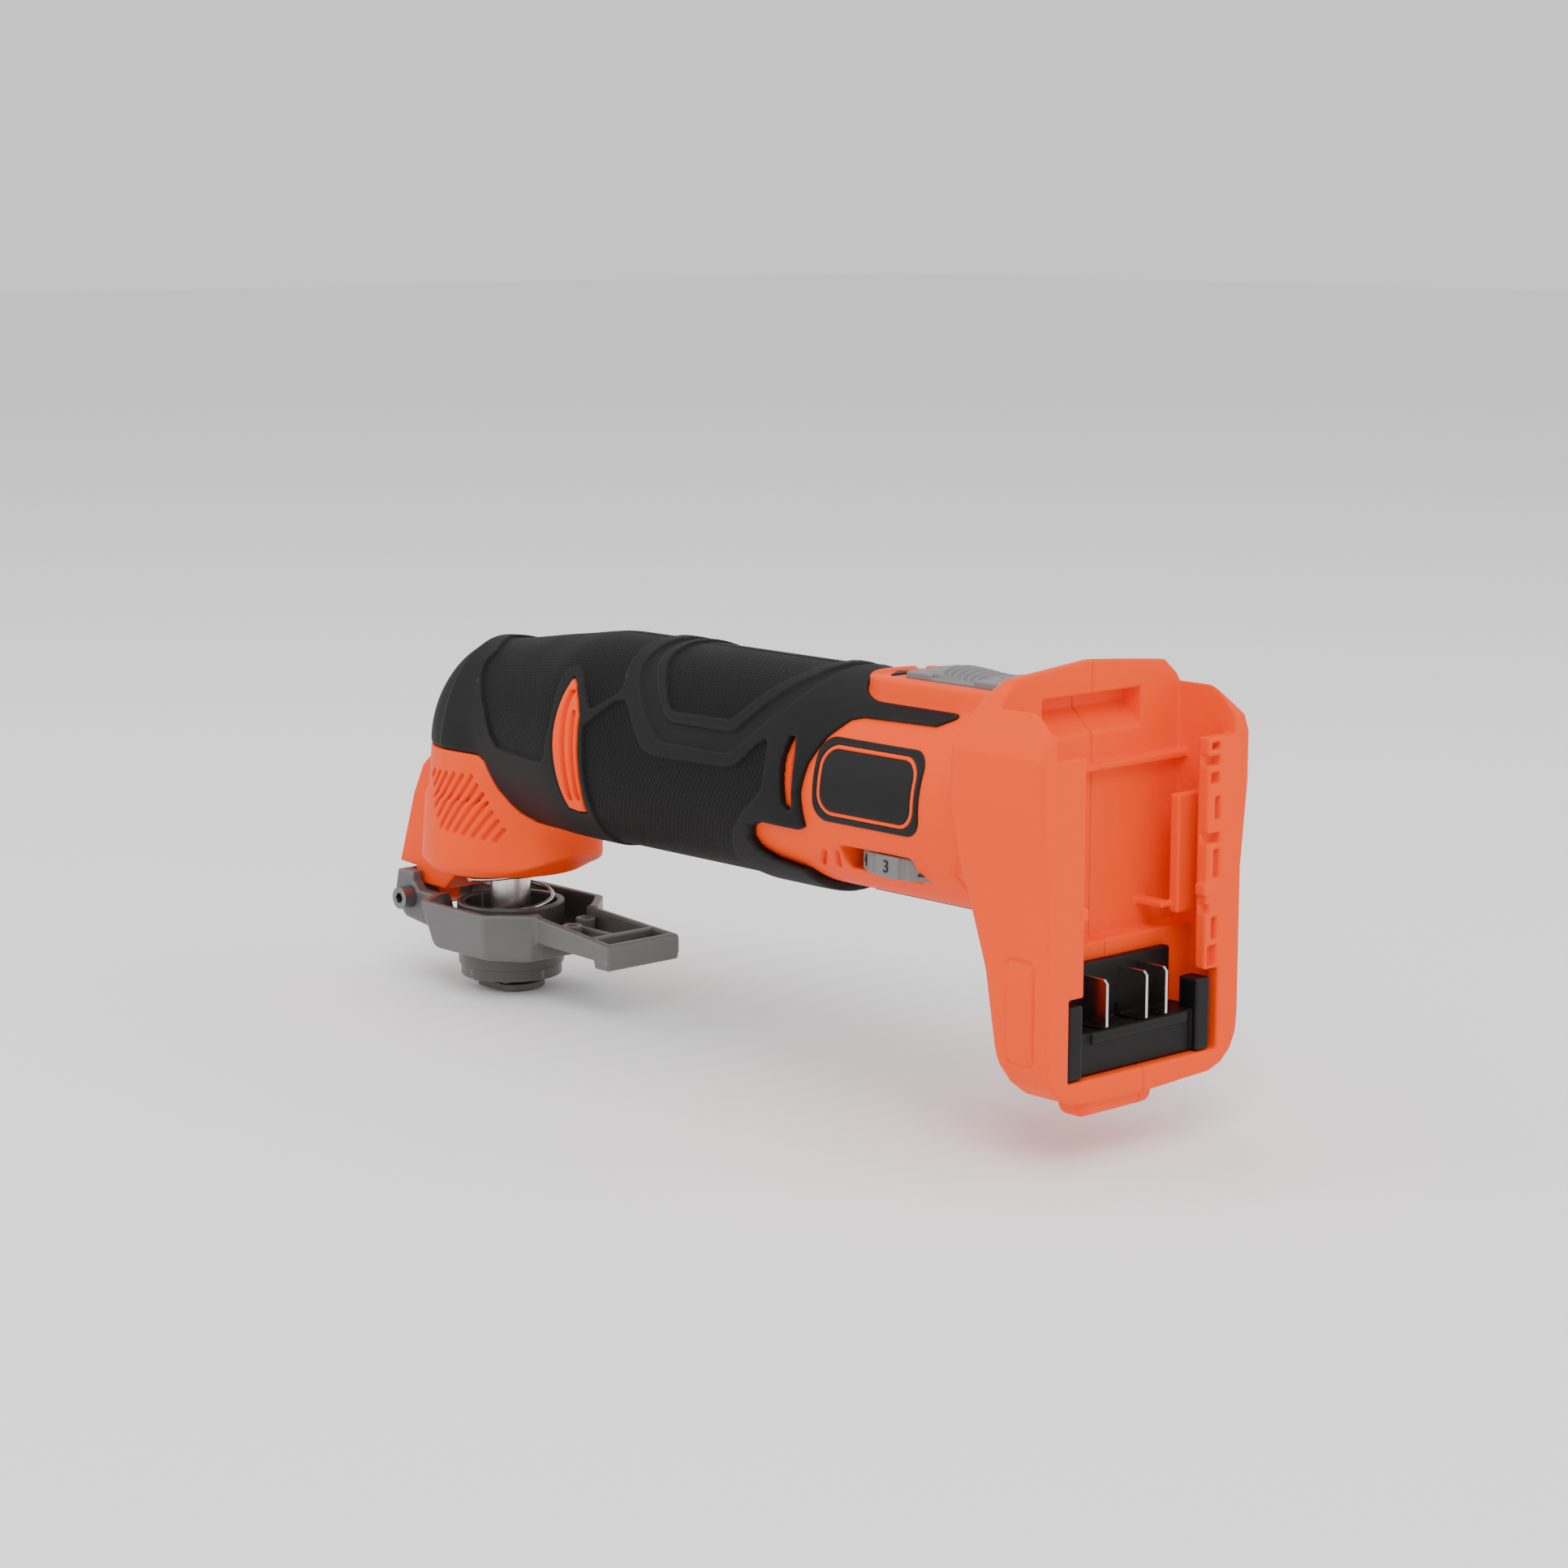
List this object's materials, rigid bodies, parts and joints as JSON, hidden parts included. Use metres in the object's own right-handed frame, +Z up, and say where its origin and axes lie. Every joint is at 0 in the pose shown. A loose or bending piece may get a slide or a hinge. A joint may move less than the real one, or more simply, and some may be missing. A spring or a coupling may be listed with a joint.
{
  "type": "oscillating multi-tool",
  "caption": "Cordless oscillating multi-tool, bare tool: soft-grip barrel, offset head with a squeeze lever accessory holder, slide switch, speed wheel and slide-on battery foot.",
  "frame": {"origin": "spindle axis where it crosses the accessory face of the holder", "axes": "+X from the battery foot towards the head, +Y to the left of a user behind the tool, +Z up, against the spindle"},
  "size_m": [0.3004, 0.076, 0.1232],
  "materials": {
    "orange_plastic": "satin moulded orange",
    "soft_grip_black": "matt textured soft grip",
    "black_plastic": "satin black",
    "grey_plastic": "fine textured grey",
    "holder_metal": "dark phosphated",
    "cast_aluminium": "as cast",
    "polished_steel": "ground and polished",
    "dark_steel": "black oxide",
    "bearing_steel": "ground",
    "magnet_ferrite": "matt ceramic",
    "core_iron": "laminated",
    "copper": "enamelled copper",
    "carbon": "pressed carbon",
    "brass": "turned",
    "fan_plastic": "moulded nylon",
    "board_green": "solder mask",
    "lead_insulation": "pvc"
  },
  "bodies": {
    "root": {"badge_left": "black_plastic", "badge_right": "black_plastic", "bottom_plate": "black_plastic", "brush_springs": "polished_steel", "control_board": "board_green", "dial_sensor": "board_green", "gearcase": "cast_aluminium", "grip_left": "soft_grip_black", "grip_right": "soft_grip_black", "housing_left": "orange_plastic", "housing_right": "orange_plastic", "lever_spring": "polished_steel", "motor_brushes": "carbon", "motor_can": "dark_steel", "motor_end_cap": "black_plastic", "motor_front_bearing": "bearing_steel", "motor_magnets": "magnet_ferrite", "motor_rear_bearing": "bearing_steel", "neck_vent_left": "orange_plastic", "neck_vent_right": "orange_plastic", "nose_cover": "orange_plastic", "nose_screws": "dark_steel", "pivot_nut": "dark_steel", "pivot_screw": "dark_steel", "power_leads": "lead_insulation", "shell_screws": "dark_steel", "spindle_lower_bearing": "bearing_steel", "spindle_upper_bearing": "bearing_steel", "spring_seat": "dark_steel", "switch_body": "black_plastic", "terminal_blades": "polished_steel", "terminal_block": "black_plastic"},
    "spindle": {"spindle": "polished_steel", "drive_fork": "dark_steel"},
    "holder": {"accessory_holder": "holder_metal"},
    "lever": {"squeeze_lever": "grey_plastic"},
    "rotor": {"rotor_shaft": "polished_steel", "armature_core": "core_iron", "armature_windings": "copper", "commutator": "copper", "cooling_fan": "fan_plastic", "eccentric": "dark_steel", "eccentric_bearing": "bearing_steel", "counterweight": "brass"},
    "slider": {"switch_slider": "grey_plastic"},
    "dial": {"speed_dial": "grey_plastic"}
  },
  "joints": [
    {"name": "spindle_oscillation", "type": "hinge", "parent": "root", "child": "spindle", "pos_m": [0, 0, 0.0389], "axis": [0, 0, 1], "range_deg": [-1.4, 1.4]},
    {"name": "holder_lift", "type": "slide", "parent": "spindle", "child": "holder", "axis": [0, 0, 1], "range_m": [0, 0.00361], "deforming": ["lever_spring"]},
    {"name": "lever_squeeze", "type": "hinge", "parent": "root", "child": "lever", "pos_m": [0.0335, 0, 0.0199], "axis": [0, 1, 0], "range_deg": [0, 6], "stiffness_Nm_per_rad": 1.2, "springref_deg": -20.05},
    {"name": "rotor_spin", "type": "hinge", "parent": "root", "child": "rotor", "pos_m": [-0.1045, 0, 0.0789], "axis": [1, 0, 0], "continuous": true},
    {"name": "switch_slide", "type": "slide", "parent": "root", "child": "slider", "axis": [1, 0, 0], "range_m": [0, 0.007]},
    {"name": "speed_dial_turn", "type": "hinge", "parent": "root", "child": "dial", "pos_m": [-0.1885, 0.0055, 0.0631], "axis": [0, 0, 1], "range_deg": [-60, 90]}
  ],
  "couplings": [
    {"joint": "holder_lift", "follows": "lever_squeeze", "m_per_rad": 0.0335}
  ]
}
